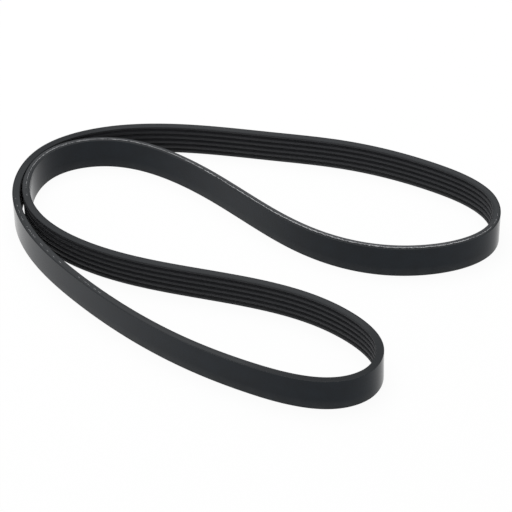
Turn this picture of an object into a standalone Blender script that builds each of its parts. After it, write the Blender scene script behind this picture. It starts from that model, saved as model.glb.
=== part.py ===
"""Multi-rib alternator belt: one endless moulded rubber band, standing on its slit edge in a folded loop.

The band is a single section swept round a closed plan path. Its back is smooth and lies outside the loop,
and its ribs face inwards. Run it with: blender --background --python part.py
"""
from math import radians, tan

import bmesh
import bpy
import numpy as np
from mathutils import Vector

MM = 0.001

# Section of the belt, in millimetres and degrees
RIB_PITCH = 3.56            # standard spacing of automotive multi-rib grooves
GROOVE_COUNT = 5            # five grooves leave six ribs
GROOVE_ANGLE = 40.0         # included angle of each groove
RIB_HEIGHT = 2.3            # groove depth
GROOVE_FLOOR = 0.4          # width of the flat at the bottom of a groove
TIP_ROUNDING = 0.3          # how far a rib tip's rounding reaches from its corner
BACK_THICKNESS = 2.0        # rubber and cord between the groove floors and the smooth back
EDGE_RIB_WIDTH = 2.18       # from the slit edge to the middle of the nearest groove

# Plan path of the smooth back, in millimetres, anticlockwise from above
FAR_RUN = [(142.5, 43.5), (134, 57), (111, 75.5), (55.5, 101), (13, 110.5), (-70.5, 121)]
OUTER_BEND = [(-97, 116.5), (-128, 98), (-142.5, 55.5), (-137.5, 28)]
NEAR_RUN = [(-102, -29.5), (-51, -79.5), (-5.5, -109), (56, -120)]
LOWER_LOBE_END = [(63, -115), (70.5, -98.5), (51, -61.5)]
INNER_RUN = [(12.5, -38), (-40.5, -21), (-86.5, -3)]
RETURN_RUN = [(-46, 83.5), (1, 37.5), (26.5, 13.5), (88.5, -9.5), (142.5, 16.5)]

# Clear space between the rib faces where the inner bend nests in the outer one, beside each outer bend point
NEST_GAPS = [6.7, 1.1, 1.8, 4.1]

STATIONS_PER_RUN = 5        # sections along the belt between two neighbouring path points

# Finish of the rubber, as a first look
RUBBER_COLOUR = (0.022, 0.024, 0.028, 1.0)
RUBBER_ROUGHNESS = 0.55
SHARP_EDGE_ANGLE = 30.0

BELT_THICKNESS = BACK_THICKNESS + RIB_HEIGHT
BELT_WIDTH = (GROOVE_COUNT - 1) * RIB_PITCH + 2 * EDGE_RIB_WIDTH


def clear_scene():
    """Remove whatever objects the file holds."""
    for thing in list(bpy.data.objects):
        bpy.data.objects.remove(thing, do_unlink=True)


def make_collection(name):
    """Make a collection under the scene's own and return it."""
    collection = bpy.data.collections.new(name)
    bpy.context.scene.collection.children.link(collection)
    return collection


def rubber_material():
    """Return the charcoal rubber of the whole belt."""
    material = bpy.data.materials.new("belt_rubber")
    material.use_nodes = True
    shader = material.node_tree.nodes["Principled BSDF"]
    shader.inputs["Base Color"].default_value = RUBBER_COLOUR
    shader.inputs["Roughness"].default_value = RUBBER_ROUGHNESS
    shader.inputs["Metallic"].default_value = 0.0
    return material


def inward_normals(points):
    """Return unit vectors at the points, pointing to the left of the way along them."""
    along = np.roll(points, -1, axis=0) - np.roll(points, 1, axis=0)
    along /= np.linalg.norm(along, axis=1)[:, None]
    return np.column_stack([-along[:, 1], along[:, 0]])


def plan_points():
    """Return the points of the whole loop; the inner bend lies beside the outer bend, back to back."""
    before = FAR_RUN + OUTER_BEND + NEAR_RUN + LOWER_LOBE_END + INNER_RUN
    outer = np.array(before, dtype=float)
    normals = inward_normals(outer)
    inner_bend = []
    for step, gap in enumerate(NEST_GAPS):
        beside = len(FAR_RUN) + step
        inner_bend.append(outer[beside] + normals[beside] * (2 * BELT_THICKNESS + gap))
    return np.vstack([outer, inner_bend[::-1], RETURN_RUN])


def smooth_slopes(points):
    """Return each span's length and the slopes at the points of the closed curve of even curvature."""
    count = len(points)
    spans = np.linalg.norm(np.roll(points, -1, axis=0) - points, axis=1)
    matrix = np.zeros((count, count))
    right_side = np.zeros((count, 2))
    for here in range(count):
        before, after = here - 1, (here + 1) % count
        matrix[here, before] += 1 / spans[before]
        matrix[here, here] += 2 / spans[before] + 2 / spans[here]
        matrix[here, after] += 1 / spans[here]
        arriving = (points[here] - points[before]) / spans[before] ** 2
        leaving = (points[after] - points[here]) / spans[here] ** 2
        right_side[here] = 3 * (arriving + leaving)
    return spans, np.linalg.solve(matrix, right_side)


def fill_path(spline, points):
    """Set a closed Bezier spline through the plan points, with handles that keep its curvature even."""
    spans, slopes = smooth_slopes(points)
    spline.bezier_points.add(len(points) - 1)
    spline.use_cyclic_u = True
    for here, knot in enumerate(spline.bezier_points):
        place = points[here]
        arriving = place - slopes[here] * spans[here - 1] / 3
        leaving = place + slopes[here] * spans[here] / 3
        knot.handle_left_type = knot.handle_right_type = 'FREE'
        knot.co = Vector((*place, 0)) * MM
        knot.handle_left = Vector((*arriving, 0)) * MM
        knot.handle_right = Vector((*leaving, 0)) * MM


def groove_points(middle):
    """Return one groove's corners, from its lower rib tip to its upper one, as (depth, height) pairs."""
    slope = tan(radians(GROOVE_ANGLE / 2))
    floor = GROOVE_FLOOR / 2
    mouth = floor + RIB_HEIGHT * slope
    rounded = mouth - TIP_ROUNDING * slope
    lower = [
        (BELT_THICKNESS, middle - mouth - TIP_ROUNDING),
        (BELT_THICKNESS - TIP_ROUNDING, middle - rounded),
        (BACK_THICKNESS, middle - floor),
    ]
    return lower + [(depth, 2 * middle - height) for depth, height in reversed(lower)]


def section_points():
    """Return the belt's section, with depth from the smooth back and height from the lower slit edge."""
    points = [(0, 0), (BELT_THICKNESS, 0)]
    for groove in range(GROOVE_COUNT):
        points += groove_points(EDGE_RIB_WIDTH + groove * RIB_PITCH)
    points += [(BELT_THICKNESS, BELT_WIDTH), (0, BELT_WIDTH)]
    return points


def make_section():
    """Return the closed 2-D curve of the belt's section; its depth runs towards -X, inside the loop."""
    data = bpy.data.curves.new("belt_section", 'CURVE')
    data.dimensions = '2D'
    points = section_points()
    spline = data.splines.new('POLY')
    spline.points.add(len(points) - 1)
    spline.use_cyclic_u = True
    for knot, (depth, height) in zip(spline.points, points):
        knot.co = (-depth * MM, height * MM, 0, 1)
    section = bpy.data.objects.new("belt_section", data)
    section.hide_render = True
    section.display_type = 'WIRE'
    return section


def make_path(section):
    """Return the closed plan curve that carries the section upright along the loop."""
    data = bpy.data.curves.new("belt_path", 'CURVE')
    data.dimensions = '3D'
    data.twist_mode = 'Z_UP'
    data.resolution_u = STATIONS_PER_RUN
    data.render_resolution_u = STATIONS_PER_RUN
    data.bevel_mode = 'OBJECT'
    data.bevel_object = section
    fill_path(data.splines.new('BEZIER'), plan_points())
    path = bpy.data.objects.new("belt_path", data)
    path.hide_render = True
    path.display_type = 'WIRE'
    return path


def stand_on_origin(mesh):
    """Move a mesh so that the middle of its base lies on the origin."""
    corners = np.array([vertex.co for vertex in mesh.vertices])
    low, high = corners.min(axis=0), corners.max(axis=0)
    middle = (low + high) / 2
    for vertex in mesh.vertices:
        vertex.co -= Vector((middle[0], middle[1], low[2]))


def make_belt(path, material, collection):
    """Turn the swept curve into the belt's one solid and place it in the part's collection."""
    reader = path.evaluated_get(bpy.context.evaluated_depsgraph_get())
    mesh = bpy.data.meshes.new_from_object(reader)
    mesh.name = "ribbed_belt"
    stand_on_origin(mesh)
    shape = bmesh.new()
    shape.from_mesh(mesh)
    bmesh.ops.recalc_face_normals(shape, faces=shape.faces)
    shape.to_mesh(mesh)
    shape.free()
    mesh.materials.clear()
    mesh.materials.append(material)
    mesh.shade_smooth()
    mesh.set_sharp_from_angle(angle=radians(SHARP_EDGE_ANGLE))
    belt = bpy.data.objects.new("ribbed_belt", mesh)
    collection.objects.link(belt)
    return belt


def main():
    """Build the belt and keep its section and path as hidden guides."""
    clear_scene()
    part = make_collection("alternator_belt")
    guides = make_collection("guides")
    section = make_section()
    guides.objects.link(section)
    path = make_path(section)
    guides.objects.link(path)
    make_belt(path, rubber_material(), part)


main()
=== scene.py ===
"""Looks of a multi-rib alternator belt: smooth back, ground ribs and slit edges with pale cord fibres.

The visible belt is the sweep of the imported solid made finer: one section carried round one closed plan
path, with its ribs inside the loop. Here and there it leans a little from upright. Lengths are in
millimetres where a name or comment doesn't say otherwise. They become metres where a mesh, a lamp or
the camera is made.
"""

import logging
from dataclasses import dataclass
from enum import Enum
from functools import cached_property
from math import cos, pi, radians, sin, tan

import bpy
import numpy as np
from bpy.types import Material, Mesh, Node, NodeSocket, NodeTree, Object
from mathutils import Matrix, Vector


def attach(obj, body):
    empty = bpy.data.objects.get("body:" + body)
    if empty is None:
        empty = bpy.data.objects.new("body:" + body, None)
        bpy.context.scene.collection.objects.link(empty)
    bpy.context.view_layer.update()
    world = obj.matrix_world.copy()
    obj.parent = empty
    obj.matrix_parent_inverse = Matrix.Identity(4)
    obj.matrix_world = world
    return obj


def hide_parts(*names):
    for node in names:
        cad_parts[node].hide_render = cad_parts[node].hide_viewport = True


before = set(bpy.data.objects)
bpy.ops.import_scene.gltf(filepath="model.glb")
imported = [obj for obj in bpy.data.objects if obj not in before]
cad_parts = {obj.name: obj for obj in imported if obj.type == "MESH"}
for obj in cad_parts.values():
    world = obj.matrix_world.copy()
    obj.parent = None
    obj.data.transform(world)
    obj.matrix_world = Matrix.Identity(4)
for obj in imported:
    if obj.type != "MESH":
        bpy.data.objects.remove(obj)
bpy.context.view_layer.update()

MM = 0.001
BELT_NODE = "ribbed_belt"
BODY = "root"

Point = tuple[float, float]
Colour = tuple[float, float, float, float]
Lengths = float | np.ndarray

WHITE: Colour = (1.0, 1.0, 1.0, 1.0)

# Names of the band's UV map and of the values at its vertices
RUN_MAP = "belt_run"
BARED_MAP = "cord_bared"
EDGE_SHADE_MAP = "painted_edge_shade"
DEPTH_MAP = "depth_from_back"

# Places of the sockets of a Mix node that mixes colours
SHARE, FIRST, SECOND, MIXED = 0, 6, 7, 2

log = logging.getLogger("alternator_belt")


class Zone(Enum):
    """The kinds of surface on the belt, in the order of its material slots."""

    BACK = 0
    RIBS = 1
    SLIT_EDGE = 2


class SlitSide(Enum):
    """The two slit edges of the belt, named by where they lie as it stands."""

    UPPER = 1
    LOWER = -1


def linear_colour(hex_code: str) -> Colour:
    """Turn an sRGB hex value into a linear colour.

    Args:
        hex_code: Six hex digits, with or without a leading mark.

    Returns:
        Linear red, green and blue, and an alpha of 1.
    """
    digits = hex_code.lstrip("#")
    channels = [int(digits[start:start + 2], 16) / 255 for start in (0, 2, 4)]
    linear = [c / 12.92 if c <= 0.04045 else ((c + 0.055) / 1.055) ** 2.4 for c in channels]
    return (*linear, 1.0)


def add_node(
    tree: NodeTree,
    kind: str,
    inputs: dict[str | int, object] | None = None,
    **properties: object,
) -> Node:
    """Add a node with its settings and links.

    Args:
        tree: The node tree that takes the node.
        kind: Blender's type name of the node.
        inputs: For each input, by name or place, an output socket to link or a value to set.
        **properties: The node's own properties.

    Returns:
        The new node.
    """
    node = tree.nodes.new(kind)
    for name, value in properties.items():
        setattr(node, name, value)
    for key, value in (inputs or {}).items():
        if isinstance(value, NodeSocket):
            tree.links.new(value, node.inputs[key])
        else:
            node.inputs[key].default_value = value
    return node


def new_material(name: str) -> tuple[Material, NodeTree]:
    """Make an empty node material.

    Args:
        name: The material's name.

    Returns:
        The material and its node tree.
    """
    material = bpy.data.materials.new(name)
    material.use_nodes = True
    material.node_tree.nodes.clear()
    return material, material.node_tree


def white_backdrop_rays(tree: NodeTree) -> NodeSocket:
    """Tell the rays that should meet plain white from those that gather light.

    Args:
        tree: The node tree of the floor or the world.

    Returns:
        A socket that is 1 for rays from the camera, a gloss or a clear body, and 0 for the others.
    """
    paths = add_node(tree, "ShaderNodeLightPath")
    seen = paths.outputs["Is Camera Ray"]
    for kind in ("Is Glossy Ray", "Is Transmission Ray"):
        either = add_node(tree, "ShaderNodeMath", {0: seen, 1: paths.outputs[kind]}, operation="MAXIMUM")
        seen = either.outputs[0]
    return seen


def lengthwise_marks(tree: NodeTree, width: float, length: float, detail: float) -> NodeSocket:
    """Draw fine marks that run along the belt.

    Across the belt they follow the section's own outline, and along it they change slowly with the place
    in the loop, so they meet themselves without a seam.

    Args:
        tree: The node tree that takes the nodes.
        width: Width of a mark in millimetres.
        length: Length of a mark in millimetres.
        detail: Levels of finer marks on the first.

    Returns:
        A socket from 0 to 1.
    """
    run = add_node(tree, "ShaderNodeUVMap", uv_map=RUN_MAP).outputs["UV"]
    place = add_node(tree, "ShaderNodeTexCoord").outputs["Object"]
    across = add_node(tree, "ShaderNodeVectorMath", {0: run, 1: (0, 1 / width, 0)}, operation="MULTIPLY")
    slow = 1 / (length * MM)
    around = add_node(tree, "ShaderNodeVectorMath", {0: place, 1: (slow, slow, 0)}, operation="MULTIPLY")
    lanes = add_node(tree, "ShaderNodeSeparateXYZ", {0: across.outputs[0]}).outputs["Y"]
    ways = add_node(tree, "ShaderNodeSeparateXYZ", {0: around.outputs[0]})
    spread = add_node(tree, "ShaderNodeCombineXYZ", {
        "X": ways.outputs["X"], "Y": ways.outputs["Y"], "Z": lanes,
    })
    noise = add_node(tree, "ShaderNodeTexNoise", {
        "Vector": spread.outputs[0], "Scale": 1.0, "Detail": detail,
    })
    return noise.outputs["Fac"]


@dataclass(frozen=True)
class Stations:
    """Places along the closed plan path, evenly spaced.

    Attributes:
        places: Plan position of each station on the smooth back.
        inward: Unit vector at each station, to the inside of the loop.
        distance: Way along the path to each station.
        lean: Turn of the band at each station that tips its back towards the sky, in radians.
        length: The whole way round.
    """

    places: np.ndarray
    inward: np.ndarray
    distance: np.ndarray
    lean: np.ndarray
    length: float

    def between(self, distance: float) -> tuple[np.ndarray, np.ndarray, float]:
        """Find a place on the smooth back.

        Args:
            distance: Way along the smooth back.

        Returns:
            The place from above, the unit vector to the inside of the loop, and the lean there.
        """
        count = len(self.places)
        station = distance / self.length * count
        here = int(np.floor(station))
        share = station - here
        before, after = here % count, (here + 1) % count
        place, inward, lean = (
            values[before] * (1 - share) + values[after] * share
            for values in (self.places, self.inward, self.lean)
        )
        return place, inward, float(lean)


@dataclass(frozen=True)
class PlanPath:
    """The closed plan line of the smooth back, anticlockwise from above."""

    far_run: tuple[Point, ...] = (
        (142.5, 43.5), (134, 57), (111, 75.5), (55.5, 101), (13, 110.5), (-70.5, 121),
    )
    outer_bend: tuple[Point, ...] = ((-97, 116.5), (-128, 98), (-142.5, 55.5), (-137.5, 28))
    near_run: tuple[Point, ...] = ((-102, -29.5), (-51, -79.5), (-5.5, -109), (56, -120))
    lower_lobe_end: tuple[Point, ...] = ((63, -115), (70.5, -98.5), (51, -61.5))
    inner_run: tuple[Point, ...] = ((12.5, -38), (-40.5, -21), (-86.5, -3))
    return_run: tuple[Point, ...] = (
        (-46, 83.5), (1, 37.5), (26.5, 13.5), (88.5, -9.5), (142.5, 16.5),
    )
    nest_gaps: tuple[float, ...] = (6.7, 1.1, 1.8, 4.1)     # between rib faces, beside each outer bend point
    belt_thickness: float = 4.3
    leans: tuple[Point, ...] = (    # share of the loop, and degrees by which the back there faces up
        (0.40, 0.0), (0.46, 3.0), (0.52, 0.0), (0.71, 0.0),
        (0.77, 3.5), (0.85, 0.5), (0.92, 3.0), (0.98, 0.0),
    )
    lean_blend: float = 0.015       # share of the loop over which one lean eases into the next
    steps_per_span: int = 80

    def points(self) -> np.ndarray:
        """Set the inner bend beside the outer bend, a nest gap from it.

        Returns:
            All the path's points, in order round the loop.
        """
        before = self.far_run + self.outer_bend + self.near_run + self.lower_lobe_end + self.inner_run
        outer = np.array(before, dtype=float)
        normals = left_normals(outer)
        inner_bend = []
        for step, gap in enumerate(self.nest_gaps):
            beside = len(self.far_run) + step
            inner_bend.append(outer[beside] + normals[beside] * (2 * self.belt_thickness + gap))
        return np.vstack([outer, inner_bend[::-1], self.return_run])

    def dense_line(self) -> np.ndarray:
        """Fill the closed curve of even curvature through the path's points.

        Returns:
            The steps of every span, without a second copy of the first point.
        """
        points = self.points()
        spans, slopes = smooth_slopes(points)
        share = np.arange(self.steps_per_span) / self.steps_per_span
        line = []
        for here, start in enumerate(points):
            after = (here + 1) % len(points)
            leaving, arriving = slopes[here] * spans[here], slopes[after] * spans[here]
            line.append(hermite(start, points[after], leaving, arriving, share))
        return np.vstack(line)

    def stations(self, spacing: float) -> Stations:
        """Space stations evenly along the path, with the middle of the loop's box at the origin.

        Args:
            spacing: About how far apart the stations lie.

        Returns:
            The stations, without a second copy of the first at the end.
        """
        line = self.dense_line()
        closed = np.vstack([line, line[:1]])
        along = np.concatenate([[0.0], np.cumsum(np.linalg.norm(np.diff(closed, axis=0), axis=1))])
        length = float(along[-1])
        count = round(length / spacing)
        distance = np.arange(count) * length / count
        places = np.column_stack([np.interp(distance, along, closed[:, axis]) for axis in (0, 1)])
        middle = (places.min(axis=0) + places.max(axis=0)) / 2
        places -= middle
        return Stations(places, left_normals(places), distance, self.lean_at(distance / length), length)

    def lean_at(self, share: np.ndarray) -> np.ndarray:
        """Ease each lean into the next.

        Args:
            share: Places, as shares of the loop.

        Returns:
            How far the band leans at each place, in radians.
        """
        known, degrees = zip(*self.leans)
        near = (share - self.lean_blend, share, share + self.lean_blend)
        return np.radians(np.mean([np.interp(place, known, degrees, period=1.0) for place in near], axis=0))


def left_normals(points: np.ndarray) -> np.ndarray:
    """Find the directions square to a closed line.

    Args:
        points: The line's points, in order.

    Returns:
        A unit vector at each point, to the left of the way along the line.
    """
    along = np.roll(points, -1, axis=0) - np.roll(points, 1, axis=0)
    along = along / np.linalg.norm(along, axis=1)[:, None]
    return np.column_stack([-along[:, 1], along[:, 0]])


def smooth_slopes(points: np.ndarray) -> tuple[np.ndarray, np.ndarray]:
    """Find the closed curve of even curvature through points.

    Args:
        points: The points, in order round the loop.

    Returns:
        The length of the span that leaves each point, and the curve's slope at each point.
    """
    count = len(points)
    spans = np.linalg.norm(np.roll(points, -1, axis=0) - points, axis=1)
    matrix = np.zeros((count, count))
    right_side = np.zeros((count, 2))
    for here in range(count):
        before, after = here - 1, (here + 1) % count
        matrix[here, before] += 1 / spans[before]
        matrix[here, here] += 2 / spans[before] + 2 / spans[here]
        matrix[here, after] += 1 / spans[here]
        arriving = (points[here] - points[before]) / spans[before] ** 2
        leaving = (points[after] - points[here]) / spans[here] ** 2
        right_side[here] = 3 * (arriving + leaving)
    return spans, np.linalg.solve(matrix, right_side)


def hermite(
    start: np.ndarray, end: np.ndarray, leaving: np.ndarray, arriving: np.ndarray, share: np.ndarray
) -> np.ndarray:
    """Return points on the cubic from start to end.

    Args:
        start: First point.
        end: Last point.
        leaving: Tangent at the start, times the span.
        arriving: Tangent at the end, times the span.
        share: How far along the span each point lies, from 0 to 1.

    Returns:
        One point for each share.
    """
    t = share[:, None]
    return (
        (2 * t**3 - 3 * t**2 + 1) * start
        + (t**3 - 2 * t**2 + t) * leaving
        + (3 * t**2 - 2 * t**3) * end
        + (t**3 - t**2) * arriving
    )


@dataclass(frozen=True)
class Corner:
    """A corner of the section and the kind of surface that leaves it.

    Attributes:
        depth: Distance from the smooth back, into the loop.
        height: Distance from the lower slit edge.
        radius: Rounding of the corner.
        zone: Surface between this corner and the next.
    """

    depth: float
    height: float
    radius: float
    zone: Zone


@dataclass(frozen=True)
class Outline:
    """The section's closed outline with its corners rounded.

    Attributes:
        points: Depth and height of each point.
        normals: Outward unit vector at each point.
        across: Way along the outline to each point, and the whole way round as one more value.
        zones: Surface between each point and the next.
    """

    points: np.ndarray
    normals: np.ndarray
    across: np.ndarray
    zones: tuple[Zone, ...]


@dataclass(frozen=True)
class RibSection:
    """The belt's section: smooth back, square slit edges, and V grooves between ground ribs."""

    rib_pitch: float = 3.56
    groove_count: int = 5
    groove_angle: float = 40.0
    rib_height: float = 2.3
    groove_floor: float = 0.4
    back_thickness: float = 2.0
    edge_rib_width: float = 2.18
    tip_radius: float = 0.43
    floor_radius: float = 0.27
    slit_radius: float = 0.1
    turn_per_step: float = 18.0

    @property
    def thickness(self) -> float:
        """Whole thickness, from the back to the rib tips."""
        return self.back_thickness + self.rib_height

    @property
    def width(self) -> float:
        """Whole width, from slit edge to slit edge."""
        return (self.groove_count - 1) * self.rib_pitch + 2 * self.edge_rib_width

    def tip(self, depth: Lengths, height: Lengths, lean: Lengths) -> tuple[Lengths, Lengths]:
        """Tip points of the section about its middle height and stand it on its lowest corner again.

        Args:
            depth: Distances from the smooth back.
            height: Distances from the lower slit edge.
            lean: Angles in radians, positive where the back turns to face up.

        Returns:
            The tipped depths, and the heights above the floor.
        """
        rise = height - self.width / 2
        foot = self.width / 2 * np.cos(lean) + self.thickness * np.maximum(0.0, np.sin(lean))
        return depth * np.cos(lean) + rise * np.sin(lean), rise * np.cos(lean) - depth * np.sin(lean) + foot

    def corners(self) -> list[Corner]:
        """Set out the back, the slit edges and the grooves.

        Returns:
            The section's corners, anticlockwise from the lower edge of the back.
        """
        floor = self.groove_floor / 2
        mouth = floor + self.rib_height * tan(radians(self.groove_angle / 2))
        found = [
            Corner(0, 0, self.slit_radius, Zone.SLIT_EDGE),
            Corner(self.thickness, 0, self.slit_radius, Zone.RIBS),
        ]
        for groove in range(self.groove_count):
            middle = self.edge_rib_width + groove * self.rib_pitch
            found += [
                Corner(self.thickness, middle - mouth, self.tip_radius, Zone.RIBS),
                Corner(self.back_thickness, middle - floor, self.floor_radius, Zone.RIBS),
                Corner(self.back_thickness, middle + floor, self.floor_radius, Zone.RIBS),
                Corner(self.thickness, middle + mouth, self.tip_radius, Zone.RIBS),
            ]
        found += [
            Corner(self.thickness, self.width, self.slit_radius, Zone.SLIT_EDGE),
            Corner(0, self.width, self.slit_radius, Zone.BACK),
        ]
        return found

    def outline(self) -> Outline:
        """Turn every corner of the section into an arc.

        Returns:
            The closed outline.
        """
        corners = self.corners()
        points, normals, zones = [], [], []
        for place, corner in enumerate(corners):
            before, after = corners[place - 1], corners[(place + 1) % len(corners)]
            arc, outward = rounded_corner(before, corner, after, self.turn_per_step)
            points += arc
            normals += outward
            zones += [corner.zone] * len(arc)
        closed = np.array(points + points[:1])
        steps = np.linalg.norm(np.diff(closed, axis=0), axis=1)
        across = np.concatenate([[0.0], np.cumsum(steps)])
        return Outline(np.array(points), np.array(normals), across, tuple(zones))


def rounded_corner(
    before: Corner, corner: Corner, after: Corner, turn_per_step: float
) -> tuple[list[np.ndarray], list[np.ndarray]]:
    """Round one corner of the section with an arc that both its sides touch.

    Args:
        before: The corner before it.
        corner: The corner to round.
        after: The corner after it.
        turn_per_step: Degrees of turn in each step of the arc, at most.

    Returns:
        The arc's points and the outward unit vector at each.
    """
    here = np.array([corner.depth, corner.height])
    arriving = here - np.array([before.depth, before.height])
    leaving = np.array([after.depth, after.height]) - here
    arriving /= np.linalg.norm(arriving)
    leaving /= np.linalg.norm(leaving)
    turn = float(np.arctan2(arriving[0] * leaving[1] - arriving[1] * leaving[0], arriving @ leaving))
    reach = corner.radius * tan(abs(turn) / 2)
    side = 1.0 if turn > 0 else -1.0
    first_outward = np.array([arriving[1], -arriving[0]])
    centre = here - arriving * reach - first_outward * corner.radius * side
    steps = max(2, round(abs(turn) / radians(turn_per_step)))
    arc, outward = [], []
    for step in range(steps + 1):
        angle = turn * step / steps
        turned = np.array([
            first_outward[0] * cos(angle) - first_outward[1] * sin(angle),
            first_outward[0] * sin(angle) + first_outward[1] * cos(angle),
        ])
        arc.append(centre + turned * corner.radius * side)
        outward.append(turned)
    return arc, outward


@dataclass(frozen=True)
class PaintedFloorBounce:
    """Painted light: the floor's bounce light on the belt's foot, painted as a pale veil.

    It is thin and patchy, so the rubber looks a little paler towards the lower slit edge.
    """

    # pale colour of the painted bounce light
    colour: str = "#8c8c8a"
    share: float = 0.16             # how far the thickest patches of painted bounce light pale the rubber at the very foot
    reach: float = 6.0              # how far up it goes
    patch_size: float = 5.0
    patch_detail: float = 3.0

    def over(self, tree: NodeTree, rubber: NodeSocket) -> NodeSocket:
        """Paint the floor's bounce light over a colour, as a pale veil.

        Args:
            tree: The node tree that takes the nodes.
            rubber: The rubber's own colour.

        Returns:
            The colour with the painted bounce light on it.
        """
        place = add_node(tree, "ShaderNodeTexCoord").outputs["Object"]
        height = add_node(tree, "ShaderNodeSeparateXYZ", {0: place}).outputs["Z"]
        patches = add_node(tree, "ShaderNodeTexNoise", {
            "Vector": place, "Scale": 1 / (self.patch_size * MM), "Detail": self.patch_detail,
        })
        falling = add_node(tree, "ShaderNodeMapRange", {
            "Value": height, "From Max": self.reach * MM, "To Min": self.share, "To Max": 0.0,
        })
        painted_bounce = add_node(tree, "ShaderNodeMath", {
            0: falling.outputs["Result"], 1: patches.outputs["Fac"],
        }, operation="MULTIPLY")
        return add_node(tree, "ShaderNodeMix", {
            SHARE: painted_bounce.outputs[0], FIRST: rubber, SECOND: linear_colour(self.colour),
        }, data_type="RGBA").outputs[MIXED]


@dataclass(frozen=True)
class CuredRubber:
    """EPDM rubber: one body under every way of working its surface."""

    name: str
    dark: str
    light: str
    specular_level: float
    roughness: float
    relief_depth: float
    relief_strength: float
    ior: float = 1.5

    def close(
        self, tree: NodeTree, colour: NodeSocket, rough: NodeSocket | float, relief: NodeSocket
    ) -> None:
        """Lead the patterns of a finish to its shader and the output.

        Args:
            tree: The finish's node tree.
            colour: The colour pattern.
            rough: The roughness pattern, or one value where it is the same all over.
            relief: The height pattern.
        """
        bump = add_node(tree, "ShaderNodeBump", {
            "Height": relief, "Strength": self.relief_strength, "Distance": self.relief_depth * MM,
        })
        shader = add_node(tree, "ShaderNodeBsdfPrincipled", {
            "Base Color": colour, "Roughness": rough, "Normal": bump.outputs["Normal"],
            "IOR": self.ior, "Specular IOR Level": self.specular_level, "Metallic": 0.0,
        })
        add_node(tree, "ShaderNodeOutputMaterial", {"Surface": shader.outputs["BSDF"]})


@dataclass(frozen=True)
class PressedBackRubber(CuredRubber):
    """EPDM rubber cured against the moulding bladder: the belt's smooth back.

    Curing under pressure leaves an even charcoal skin with a fine grain, so it is dark where the eye
    meets it square and turns pale with sheen where it is seen along the surface.
    """

    name: str = "epdm_rubber_moulded_back"
    dark: str = "#10161c"
    light: str = "#161e26"
    specular_level: float = 0.18
    roughness: float = 0.14
    roughness_spread: float = 0.03
    relief_depth: float = 0.012
    relief_strength: float = 0.6
    grain_size: float = 0.35        # moulded grain of the skin
    grain_detail: float = 3.0
    grain_roughness: float = 0.6
    cloud_size: float = 9.0         # slow change from mould release film
    cloud_detail: float = 2.0
    cloud_range: Point = (0.3, 0.7)     # values of the cloud between which the skin goes from glossy to dull
    mottle_range: Point = (0.1, 0.45)   # values of grain times cloud between which it goes light

    def material(self) -> Material:
        """Make the finish.

        Returns:
            The material, named for the finish.
        """
        material, tree = new_material(self.name)
        place = add_node(tree, "ShaderNodeTexCoord").outputs["Object"]
        grain = add_node(tree, "ShaderNodeTexNoise", {
            "Vector": place, "Scale": 1 / (self.grain_size * MM),
            "Detail": self.grain_detail, "Roughness": self.grain_roughness,
        })
        cloud = add_node(tree, "ShaderNodeTexNoise", {
            "Vector": place, "Scale": 1 / (self.cloud_size * MM), "Detail": self.cloud_detail,
        })
        mottled = add_node(tree, "ShaderNodeMath", {
            0: grain.outputs["Fac"], 1: cloud.outputs["Fac"],
        }, operation="MULTIPLY")
        share = add_node(tree, "ShaderNodeMapRange", {
            "Value": mottled.outputs[0],
            "From Min": self.mottle_range[0], "From Max": self.mottle_range[1],
        })
        colour = add_node(tree, "ShaderNodeMix", {
            SHARE: share.outputs["Result"],
            FIRST: linear_colour(self.dark), SECOND: linear_colour(self.light),
        }, data_type="RGBA")
        rough = add_node(tree, "ShaderNodeMapRange", {
            "Value": cloud.outputs["Fac"],
            "From Min": self.cloud_range[0], "From Max": self.cloud_range[1],
            "To Min": self.roughness - self.roughness_spread,
            "To Max": self.roughness + self.roughness_spread,
        })
        # painted light: paler towards the foot, for the floor's bounce light
        bounce_lit = PaintedFloorBounce().over(tree, colour.outputs[MIXED])
        self.close(tree, bounce_lit, rough.outputs["Result"], grain.outputs["Fac"])
        return material


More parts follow.
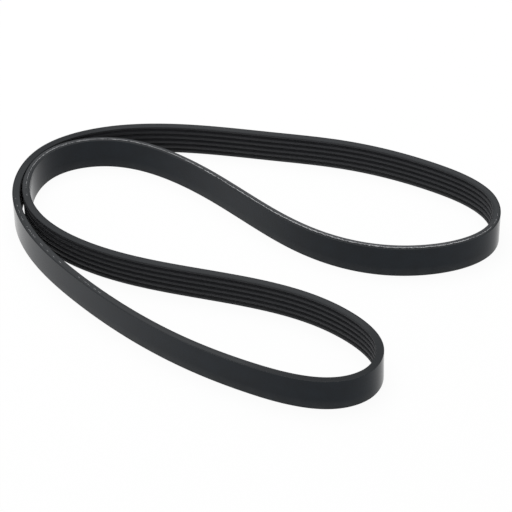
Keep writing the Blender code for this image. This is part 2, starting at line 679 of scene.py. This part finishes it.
@dataclass(frozen=True)
class GroundRibRubber(CuredRubber):
    """EPDM rubber filled with short fibres and ground to ribs: the driving side of the belt.

    The grinding wheel runs along the belt and leaves fine lengthwise scratches, and cut fibre ends make
    it the dullest rubber here, with faint pale specks. The lower part of each groove is painted a paler
    grey: painted light that lifts the shade in the grooves.
    """

    name: str = "epdm_rubber_ground_ribs"
    dark: str = "#26272a"
    light: str = "#323336"
    fibre: str = "#55565a"
    # painted light in the lower part of the grooves
    groove_light: str = "#4c4d50"
    specular_level: float = 0.25
    roughness: float = 0.6
    relief_depth: float = 0.02
    relief_strength: float = 0.7
    scratch_width: float = 0.16     # grit marks of the grinding wheel
    scratch_length: float = 14.0
    scratch_detail: float = 2.0
    speck_size: float = 0.3         # cut ends of the short fibres, drawn coarse enough to show
    speck_detail: float = 1.0
    speck_range: Point = (0.66, 0.74)   # values of the noise between which a speck comes out
    brightest_groove_depth: float = 2.2        # depth from the back at which the painted light in the grooves is strongest
    groove_light_end: float = 3.6        # depth from the back past which the ribs have no painted light

    def material(self) -> Material:
        """Make the finish.

        Returns:
            The material, named for the finish.
        """
        material, tree = new_material(self.name)
        place = add_node(tree, "ShaderNodeTexCoord").outputs["Object"]
        scratches = lengthwise_marks(tree, self.scratch_width, self.scratch_length, self.scratch_detail)
        specks = add_node(tree, "ShaderNodeTexNoise", {
            "Vector": place, "Scale": 1 / (self.speck_size * MM), "Detail": self.speck_detail,
        })
        rubber = add_node(tree, "ShaderNodeMix", {
            SHARE: scratches, FIRST: linear_colour(self.dark), SECOND: linear_colour(self.light),
        }, data_type="RGBA")
        # painted light: the lower part of each groove is painted paler, fading out up the flanks
        depth = add_node(tree, "ShaderNodeAttribute", attribute_name=DEPTH_MAP).outputs["Fac"]
        darker_share = add_node(tree, "ShaderNodeMapRange", {
            "Value": depth, "From Min": self.brightest_groove_depth, "From Max": self.groove_light_end,
        })
        base = add_node(tree, "ShaderNodeMix", {
            SHARE: darker_share.outputs["Result"], FIRST: linear_colour(self.groove_light), SECOND: rubber.outputs[MIXED],
        }, data_type="RGBA")
        picked = add_node(tree, "ShaderNodeMapRange", {
            "Value": specks.outputs["Fac"],
            "From Min": self.speck_range[0], "From Max": self.speck_range[1],
        })
        colour = add_node(tree, "ShaderNodeMix", {
            SHARE: picked.outputs["Result"], FIRST: base.outputs[MIXED], SECOND: linear_colour(self.fibre),
        }, data_type="RGBA")
        relief = add_node(tree, "ShaderNodeMath", {
            0: scratches, 1: specks.outputs["Fac"],
        }, operation="ADD")
        # painted light: paler towards the foot, for the floor's bounce light
        bounce_lit = PaintedFloorBounce().over(tree, colour.outputs[MIXED])
        self.close(tree, bounce_lit, self.roughness, relief.outputs[0])
        return material


@dataclass(frozen=True)
class SlitRubber(CuredRubber):
    """EPDM rubber cut by the slitting knives: the belt's two edges.

    The knife drags along the belt and leaves long fine draw marks. Along stretches of the loop, beside
    bared cord and elsewhere, the cut is painted darker in streaks: painted shade. Where the knife ran into
    the cord, it left grey lint on the side of the ribs. The back's own layer shows as a darker band along
    the smooth back.
    """

    name: str = "epdm_rubber_knife_cut"
    # tones of the darker cut, used for its painted shade and its darkening towards the ribs
    dark: str = "#0f1215"
    light: str = "#1b1e21"
    # the cut's colour outside its painted shade
    unshaded_cut: str = "#313335"
    cover: str = "#1c1e21"
    lint: str = "#505154"
    specular_level: float = 0.1
    roughness: float = 0.5
    relief_depth: float = 0.015
    relief_strength: float = 0.6
    cover_layer: float = 0.75       # thickness of the back's own layer of darker rubber
    cover_fade: float = 0.15        # how unevenly that layer ends, either way
    streak: float = 0.7             # how far the draw marks part the painted shade into streaks
    tip_shade: float = 0.6          # how much darker the cut is at the rib side than at the cord
    shade_depths: Point = (2.4, 4.3)    # depths from the back between which it darkens
    lint_depths: Point = (2.3, 3.0)     # depths from the back between which the lint thickens
    lint_end: float = 4.9           # depth at which it would have thinned out again
    mark_width: float = 0.22        # draw marks of the knife
    mark_length: float = 22.0
    mark_detail: float = 3.0

    def material(self) -> Material:
        """Make the finish.

        Returns:
            The material, named for the finish.
        """
        material, tree = new_material(self.name)
        marks = lengthwise_marks(tree, self.mark_width, self.mark_length, self.mark_detail)
        cut = add_node(tree, "ShaderNodeMix", {
            SHARE: marks, FIRST: linear_colour(self.dark), SECOND: linear_colour(self.light),
        }, data_type="RGBA")
        # painted shade: the cut is painted darker beside bared cord and along the listed stretches of the
        # upper edge
        bared = add_node(tree, "ShaderNodeAttribute", attribute_name=BARED_MAP).outputs["Fac"]
        edge_shade = add_node(tree, "ShaderNodeAttribute", attribute_name=EDGE_SHADE_MAP).outputs["Fac"]
        shaded_stretch = add_node(tree, "ShaderNodeMath", {0: bared, 1: edge_shade}, operation="MAXIMUM")
        parted = add_node(tree, "ShaderNodeMapRange", {
            "Value": marks, "To Min": -self.streak / 2, "To Max": self.streak / 2,
        })
        darker_share = add_node(tree, "ShaderNodeMath", {
            0: shaded_stretch.outputs[0], 1: parted.outputs["Result"],
        }, operation="ADD", use_clamp=True)
        depth = add_node(tree, "ShaderNodeAttribute", attribute_name=DEPTH_MAP).outputs["Fac"]
        shade = add_node(tree, "ShaderNodeMapRange", {
            "Value": depth, "From Min": self.shade_depths[0], "From Max": self.shade_depths[1],
            "To Max": self.tip_shade,
        })
        darkest = add_node(tree, "ShaderNodeMath", {
            0: darker_share.outputs[0], 1: shade.outputs["Result"],
        }, operation="MAXIMUM")
        ribs_side = add_node(tree, "ShaderNodeMix", {
            SHARE: darkest.outputs[0], FIRST: linear_colour(self.unshaded_cut), SECOND: cut.outputs[MIXED],
        }, data_type="RGBA")
        beyond = add_node(tree, "ShaderNodeMapRange", {
            "Value": depth, "From Min": self.lint_depths[0], "From Max": self.lint_depths[1],
        })
        thinning = add_node(tree, "ShaderNodeMapRange", {
            "Value": depth, "From Min": self.lint_depths[1], "From Max": self.lint_end,
            "To Min": 1.0, "To Max": 0.0,
        })
        thick = add_node(tree, "ShaderNodeMath", {
            0: beyond.outputs["Result"], 1: thinning.outputs["Result"],
        }, operation="MULTIPLY")
        strewn = add_node(tree, "ShaderNodeMath", {0: bared, 1: thick.outputs[0]}, operation="MULTIPLY")
        linted = add_node(tree, "ShaderNodeMix", {
            SHARE: strewn.outputs[0], FIRST: ribs_side.outputs[MIXED], SECOND: linear_colour(self.lint),
        }, data_type="RGBA")
        below = add_node(tree, "ShaderNodeMapRange", {
            "Value": depth, "From Min": self.cover_layer - self.cover_fade,
            "From Max": self.cover_layer + self.cover_fade,
        })
        colour = add_node(tree, "ShaderNodeMix", {
            SHARE: below.outputs["Result"], FIRST: linear_colour(self.cover), SECOND: linted.outputs[MIXED],
        }, data_type="RGBA")
        self.close(tree, colour.outputs[MIXED], self.roughness, marks)
        return material


@dataclass(frozen=True)
class CutCordPolyester:
    """Polyester tension cord bared where the knife ran along it: pale, frayed and dull."""

    name: str = "polyester_tension_cord_cut"
    dark: str = "#7c7d7f"
    light: str = "#cfd0d2"
    roughness: float = 0.75
    ior: float = 1.55
    yarn_pitch: float = 0.35        # lay of the twisted yarns
    yarn_detail: float = 2.0

    def material(self) -> Material:
        """Make the finish.

        Returns:
            The material, named for the finish.
        """
        material, tree = new_material(self.name)
        place = add_node(tree, "ShaderNodeTexCoord").outputs["Object"]
        yarns = add_node(tree, "ShaderNodeTexNoise", {
            "Vector": place, "Scale": 1 / (self.yarn_pitch * MM), "Detail": self.yarn_detail,
        })
        colour = add_node(tree, "ShaderNodeMix", {
            SHARE: yarns.outputs["Fac"], FIRST: linear_colour(self.dark), SECOND: linear_colour(self.light),
        }, data_type="RGBA")
        shader = add_node(tree, "ShaderNodeBsdfPrincipled", {
            "Base Color": colour.outputs[MIXED], "Roughness": self.roughness,
            "IOR": self.ior, "Metallic": 0.0,
        })
        add_node(tree, "ShaderNodeOutputMaterial", {"Surface": shader.outputs["BSDF"]})
        return material


@dataclass(frozen=True)
class Filament:
    """A bundle of filaments that lies along the slit edge.

    Attributes:
        place: Way along the belt to its middle.
        depth: Distance of its middle from the smooth back.
        half_length: Half its length.
        half_width: Half its width.
        skew: Its turn from the belt's run, in radians.
    """

    place: float
    depth: float
    half_length: float
    half_width: float
    skew: float


@dataclass(frozen=True)
class EdgeStretch:
    """A stretch of the loop where a slit edge has its cord bared or is painted in shade.

    Attributes:
        middle: Where its middle lies, as a share of the loop.
        reach: Share of the loop from its middle to either end.
        strength: How far the cord is bared or the edge painted in shade at its middle, from 0 to 1.
        steepness: How suddenly it ends, as a power of the way from its middle.
    """

    middle: float
    reach: float
    strength: float
    steepness: int = 4

    def share(self, loop_share: float) -> float:
        """Return how far the cord is bared or the edge painted in shade at a place on the loop, from 0 to 1.
        """
        away = abs((loop_share - self.middle + 0.5) % 1 - 0.5) / self.reach
        return self.strength * max(0.0, 1 - away**self.steepness)


# Where each slitting knife ran into the cord; the slit rubber beside it is also painted in shade
BARED_STRETCHES = {
    SlitSide.UPPER: (
        EdgeStretch(0.845, 0.145, 0.6), EdgeStretch(0.91, 0.06, 1.0), EdgeStretch(0.315, 0.05, 0.12),
    ),
    SlitSide.LOWER: (EdgeStretch(0.4, 0.2, 1.0), EdgeStretch(0.95, 0.1, 0.3)),
}


def strongest(stretches: tuple[EdgeStretch, ...], loop_share: float) -> float:
    """Return the most that any of the stretches gives at a place on the loop, from 0 to 1."""
    return max(stretch.share(loop_share) for stretch in stretches)


def grown(least: float, share: float) -> float:
    """Return the value that lies a share of the way from the least one to 1."""
    return least + (1 - least) * share


@dataclass(frozen=True)
class BaredCord:
    """Frayed filaments of the tension cord along one slit edge.

    The cord is wound round the belt with a small pitch, so each knife bares it over part of the loop and
    runs between two of its turns elsewhere.
    """

    section: RibSection
    side: SlitSide
    stretches: tuple[EdgeStretch, ...]
    cord_depth: float = 1.75        # from the smooth back to the cord's middle
    cord_width: float = 1.2         # how wide the cut cord shows where it is bared most
    drags: tuple[Point, ...] = (    # share of the loop, and how far the knife dragged the cord to the ribs
        (0.70, 0.3), (0.76, 0.45), (0.79, 0.45), (0.82, 0.05),
        (0.86, 0.0), (0.90, 0.4), (0.95, 0.3), (0.97, 0.0),
    )
    pitch: float = 0.4              # mean way from one bundle to the next where they lie closest
    stray: float = 0.4              # most that a bundle lies off its even place, as a share of the pitch
    crowding: float = 1.25          # how soon the bundles lie that close as more of the cord is bared
    length: float = 2.8             # of the longest bundle
    shortest: float = 0.3           # length of the shortest bundle, as a share of the longest
    width: float = 0.42             # of the widest bundle, where all of the cord is bared
    narrowest: float = 0.5          # width of the narrowest bundle there, as a share of the widest
    faintest: float = 0.4           # width where the cord is hardly bared, as a share of that where all is
    half_height: float = 0.05       # of a bundle, whose top is level with the belt's full width
    skew: float = 5.0               # most that a bundle turns from the belt's run, in degrees
    blunt: float = 0.05             # keeps the ends of a bundle from closing to a point
    sides: int = 6                  # of the mesh round a bundle
    rings: int = 5                  # of the mesh along a bundle
    station_spacing: float = 1.0
    seed: int = 7

    def build(self, path: PlanPath) -> Object:
        """Lay the filament bundles along the edge.

        Args:
            path: The plan path that the belt follows.

        Returns:
            All the bundles as one mesh.
        """
        stations = path.stations(self.station_spacing)
        random = np.random.default_rng(self.seed + self.side.value)
        count = round(stations.length / self.pitch)
        vertices, faces = [], []
        for place in (np.arange(count) + random.uniform(-self.stray, self.stray, count)) * self.pitch:
            bared = strongest(self.stretches, place / stations.length)
            chance, size, turn, drift = random.uniform(size=4)
            if chance > self.crowding * bared:
                continue
            dragged = np.interp(place / stations.length, *zip(*self.drags), period=1.0)
            filament = Filament(
                place=place % stations.length,
                depth=self.cord_depth + dragged + (drift - 0.5) * (self.cord_width - self.width) * bared,
                half_length=self.length * grown(self.shortest, size) / 2,
                half_width=self.width * grown(self.narrowest, size) * grown(self.faintest, bared) / 2,
                skew=radians(self.skew) * (2 * turn - 1),
            )
            self.add_filament(stations, filament, vertices, faces)
        mesh = bpy.data.meshes.new(f"cut_cord_{self.side.name.lower()}_edge")
        mesh.from_pydata(np.array(vertices) * MM, [], faces)
        mesh.shade_smooth()
        return bpy.data.objects.new(mesh.name, mesh)

    def add_filament(
        self,
        stations: Stations,
        filament: Filament,
        vertices: list[tuple[float, ...]],
        faces: list[tuple[int, ...]],
    ) -> None:
        """Add one filament bundle: a low spindle, more than half sunk in the rubber.

        Args:
            stations: Places along the belt.
            filament: Its size and place.
            vertices: All vertices so far, which it extends.
            faces: All faces so far, which it extends.
        """
        first = len(vertices)
        edge_height = self.section.width if self.side is SlitSide.UPPER else 0.0
        for step in range(self.rings):
            share = step / (self.rings - 1) * 2 - 1
            thin = max(self.blunt, 1 - share**2) ** 0.5
            along = share * filament.half_length
            back, inward, lean = stations.between(filament.place + along)
            middle = filament.depth + along * tan(filament.skew)
            for turn in range(self.sides):
                angle = 2 * pi * turn / self.sides
                depth = middle + cos(angle) * filament.half_width * thin
                height = edge_height + self.side.value * self.half_height * (sin(angle) * thin - 1)
                depth, height = self.section.tip(depth, height, lean)
                vertices.append((*(back + inward * depth), height))
        for step in range(self.rings - 1):
            ring = first + step * self.sides
            for turn in range(self.sides):
                here, after = ring + turn, ring + (turn + 1) % self.sides
                faces.append((here, after, after + self.sides, here + self.sides))
        last = first + (self.rings - 1) * self.sides
        faces.append(tuple(first + turn for turn in reversed(range(self.sides))))
        faces.append(tuple(last + turn for turn in range(self.sides)))

    def dress(self, fibres: Object) -> None:
        """Give the filaments their finish."""
        fibres.data.materials.append(CutCordPolyester().material())


@dataclass(frozen=True)
class RubberBand:
    """The rubber of the belt as one closed swept mesh, with a finish for each kind of surface."""

    path: PlanPath
    section: RibSection
    cords: tuple[BaredCord, ...]
    edge_shade: tuple[EdgeStretch, ...] = (      # stretches where the upper slit edge is painted in shade
        EdgeStretch(0.478, 0.05, 0.85), EdgeStretch(0.22, 0.03, 0.85), EdgeStretch(0.23, 0.09, 0.4),
        EdgeStretch(0.09, 0.05, 0.2), EdgeStretch(0.67, 0.05, 0.4), EdgeStretch(0.6, 0.06, 0.15),
    )
    name: str = "ribbed_rubber_band"
    station_spacing: float = 1.66
    edge_setback: float = 0.03      # the cord fibres stand this much proud of the slit rubber

    @cached_property
    def stations(self) -> Stations:
        """Places of the band's rings."""
        return self.path.stations(self.station_spacing)

    @cached_property
    def outline(self) -> Outline:
        """Outline of each ring."""
        return self.section.outline()

    def build(self) -> Object:
        """Sweep the section round the path.

        Returns:
            The closed band with its maps, still without its finishes.
        """
        mesh = bpy.data.meshes.new(self.name)
        mesh.from_pydata(self.places(), [], self.faces())
        self.map_run(mesh)
        self.map_vertices(mesh)
        mesh.shade_smooth()
        mesh.normals_split_custom_set_from_vertices(self.normals())
        return bpy.data.objects.new(self.name, mesh)

    def places(self) -> np.ndarray:
        """Place one ring of the outline at each station.

        Returns:
            Every vertex in metres, ring by ring.
        """
        stations, outline = self.stations, self.outline
        squeeze = (self.section.width - 2 * self.edge_setback) / self.section.width
        height = self.edge_setback + outline.points[:, 1] * squeeze
        depth, height = self.section.tip(outline.points[None, :, 0], height[None, :], stations.lean[:, None])
        plan = stations.places[:, None, :] + stations.inward[:, None, :] * depth[:, :, None]
        return np.dstack([plan, height]).reshape(-1, 3) * MM

    def normals(self) -> np.ndarray:
        """Turn the outline's own directions at each station.

        Returns:
            The outward unit vector at every vertex, ring by ring.
        """
        stations, outline = self.stations, self.outline
        over, up = outline.normals[None, :, 0], outline.normals[None, :, 1]
        cosine, sine = np.cos(stations.lean)[:, None], np.sin(stations.lean)[:, None]
        plan = stations.inward[:, None, :] * (over * cosine + up * sine)[:, :, None]
        return np.dstack([plan, up * cosine - over * sine]).reshape(-1, 3)

    def faces(self) -> list[tuple[int, int, int, int]]:
        """Join each ring to the next.

        Returns:
            The corners of every face, ring by ring, with its outer side out.
        """
        rings, ring_size = len(self.stations.places), len(self.outline.points)
        made = []
        for ring in range(rings):
            here, following = ring * ring_size, (ring + 1) % rings * ring_size
            for place in range(ring_size):
                after = (place + 1) % ring_size
                made.append((here + place, here + after, following + after, following + place))
        return made

    def map_run(self, mesh: Mesh) -> None:
        """Give each face corner its way along and across the belt in millimetres, and each face its finish.

        Args:
            mesh: The swept mesh, whose faces run ring by ring.
        """
        rings, ring_size = len(self.stations.places), len(self.outline.points)
        along = np.append(self.stations.distance, self.stations.length)
        starts, ends = np.repeat(along[:-1], ring_size), np.repeat(along[1:], ring_size)
        low, high = np.tile(self.outline.across[:-1], rings), np.tile(self.outline.across[1:], rings)
        corners = np.stack([
            np.column_stack([starts, low]), np.column_stack([starts, high]),
            np.column_stack([ends, high]), np.column_stack([ends, low]),
        ], axis=1)
        layer = mesh.uv_layers.new(name=RUN_MAP)
        layer.uv.foreach_set("vector", corners.astype(np.float32).ravel())
        finish = np.tile([zone.value for zone in self.outline.zones], rings)
        mesh.polygons.foreach_set("material_index", finish.astype(np.int32))

    def map_vertices(self, mesh: Mesh) -> None:
        """Mark how far the cord beside each vertex is bared, how much the slit edge is painted in shade, and
        its depth.

        Args:
            mesh: The swept mesh, whose vertices run ring by ring.
        """
        rings = len(self.stations.places)
        upper_half = self.outline.points[:, 1] > self.section.width / 2
        bared, edge_shade = np.zeros((2, rings, len(upper_half)))
        for ring, share in enumerate(self.stations.distance / self.stations.length):
            edge_shade[ring, upper_half] = strongest(self.edge_shade, share)
            for cord in self.cords:
                beside = upper_half if cord.side is SlitSide.UPPER else ~upper_half
                bared[ring, beside] = strongest(cord.stretches, share)
        depths = np.tile(self.outline.points[:, 0], rings)
        for name, values in ((BARED_MAP, bared), (EDGE_SHADE_MAP, edge_shade), (DEPTH_MAP, depths)):
            layer = mesh.attributes.new(name, 'FLOAT', 'POINT')
            layer.data.foreach_set("value", values.astype(np.float32).ravel())

    def dress(self, band: Object) -> None:
        """Give the band its finishes, in the order of the zones."""
        for finish in (PressedBackRubber(), GroundRibRubber(), SlitRubber()):
            band.data.materials.append(finish.material())


@dataclass(frozen=True)
class Softbox:
    """A rectangular soft lamp that faces the belt, with its lengths in metres and its power in watts."""

    name: str
    place: tuple[float, float, float]
    size: Point
    power: float

    def hang(self) -> None:
        """Make the lamp and turn it to the middle of the scene."""
        data = bpy.data.lights.new(self.name, 'AREA')
        data.shape = 'RECTANGLE'
        data.size, data.size_y = self.size
        data.energy = self.power
        lamp = bpy.data.objects.new(self.name, data)
        lamp.location = self.place
        lamp.rotation_mode = 'QUATERNION'
        lamp.rotation_quaternion = (-Vector(self.place)).to_track_quat('-Z', 'Y')
        bpy.context.scene.collection.objects.link(lamp)


@dataclass(frozen=True)
class PhotoStudio:
    """White sweep, white surround, one soft lamp and a long lens on a high stand."""

    elevation: float = 37.80        # how far the camera looks down, in degrees
    azimuth: float = -0.066         # how far it turns from looking along +Y, in degrees
    roll: float = 0.631
    distance: float = 1293.6        # from the camera to where it aims
    lens: float = 156.01
    sensor: float = 36.0
    clip: Point = (0.05, 50.0)      # nearest and farthest that the camera sees, in metres
    aim: Point = (0.46, 11.88)      # where the middle of the view meets the floor
    floor_half: float = 3000.0
    floor_colour: str = "#f4f4f4"
    floor_white: float = 0.94       # share of plain white in what is seen or mirrored of the floor
    surround_light: float = 0.55    # strength of the light that the surround gives
    lamp: Softbox = Softbox("overhead_softbox", place=(-0.2, 0.5, 1.3), size=(1.2, 0.9), power=14.0)

    def camera(self) -> None:
        """Set up the camera of the photograph's view."""
        tilt, swing, roll = radians(self.elevation), radians(self.azimuth), radians(self.roll)
        forward = Vector((sin(swing) * cos(tilt), cos(swing) * cos(tilt), -sin(tilt)))
        level = Vector((cos(swing), -sin(swing), 0))
        upright = level.cross(forward)
        right = level * cos(roll) - upright * sin(roll)
        up = level * sin(roll) + upright * cos(roll)
        data = bpy.data.cameras.new("long_lens")
        data.sensor_width = self.sensor
        data.lens = self.lens
        data.clip_start, data.clip_end = self.clip
        camera = bpy.data.objects.new("camera", data)
        place = Vector((*self.aim, 0)) * MM - forward * self.distance * MM
        turned = Matrix((right, up, -forward)).transposed().to_4x4()
        camera.matrix_world = Matrix.Translation(place) @ turned
        bpy.context.scene.collection.objects.link(camera)
        bpy.context.scene.camera = camera

    def floor(self) -> None:
        """Lay the white sweep that the belt stands on."""
        half = self.floor_half * MM
        mesh = bpy.data.meshes.new("white_sweep")
        corners = [(-half, -half, 0), (half, -half, 0), (half, half, 0), (-half, half, 0)]
        mesh.from_pydata(corners, [], [(0, 1, 2, 3)])
        material, tree = new_material("white_paper_sweep")
        lit = add_node(tree, "ShaderNodeBsdfDiffuse", {"Color": linear_colour(self.floor_colour)})
        white = add_node(tree, "ShaderNodeEmission", {"Color": WHITE, "Strength": 1.0})
        seen = white_backdrop_rays(tree)
        share = add_node(tree, "ShaderNodeMath", {0: seen, 1: self.floor_white}, operation="MULTIPLY")
        mixed = add_node(tree, "ShaderNodeMixShader", {
            0: share.outputs[0], 1: lit.outputs[0], 2: white.outputs[0],
        })
        add_node(tree, "ShaderNodeOutputMaterial", {"Surface": mixed.outputs[0]})
        mesh.materials.append(material)
        sweep = bpy.data.objects.new("white_sweep", mesh)
        bpy.context.scene.collection.objects.link(sweep)

    def surround(self) -> None:
        """Make the white surround, soft for the light it gives and white where it is seen or mirrored."""
        world = bpy.data.worlds.new("white_surround")
        world.use_nodes = True
        tree = world.node_tree
        tree.nodes.clear()
        seen = white_backdrop_rays(tree)
        soft = add_node(tree, "ShaderNodeBackground", {"Color": WHITE, "Strength": self.surround_light})
        white = add_node(tree, "ShaderNodeBackground", {"Color": WHITE, "Strength": 1.0})
        mixed = add_node(tree, "ShaderNodeMixShader", {0: seen, 1: soft.outputs[0], 2: white.outputs[0]})
        add_node(tree, "ShaderNodeOutputWorld", {"Surface": mixed.outputs[0]})
        bpy.context.scene.world = world

    def build(self) -> None:
        """Set up camera, floor, surround and lamp."""
        self.camera()
        self.floor()
        self.surround()
        self.lamp.hang()
        bpy.context.scene.view_settings.view_transform = 'Standard'


def place_piece(piece: Object) -> None:
    """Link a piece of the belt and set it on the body.

    Args:
        piece: The piece, which is then reported.
    """
    bpy.context.scene.collection.objects.link(piece)
    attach(piece, BODY)
    log.info("%s: %d faces", piece.name, len(piece.data.polygons))


def main() -> None:
    """Build the belt and its studio and report each piece."""
    logging.basicConfig(level=logging.INFO, format="%(name)s %(message)s")
    path, section = PlanPath(), RibSection()
    cords = tuple(BaredCord(section, side, stretches) for side, stretches in BARED_STRETCHES.items())
    band_maker = RubberBand(path, section, cords)
    band = band_maker.build()
    band_maker.dress(band)
    place_piece(band)
    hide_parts(BELT_NODE)
    for cord_maker in cords:
        fibres = cord_maker.build(path)
        cord_maker.dress(fibres)
        place_piece(fibres)
    PhotoStudio().build()


if __name__ == "__main__":
    main()
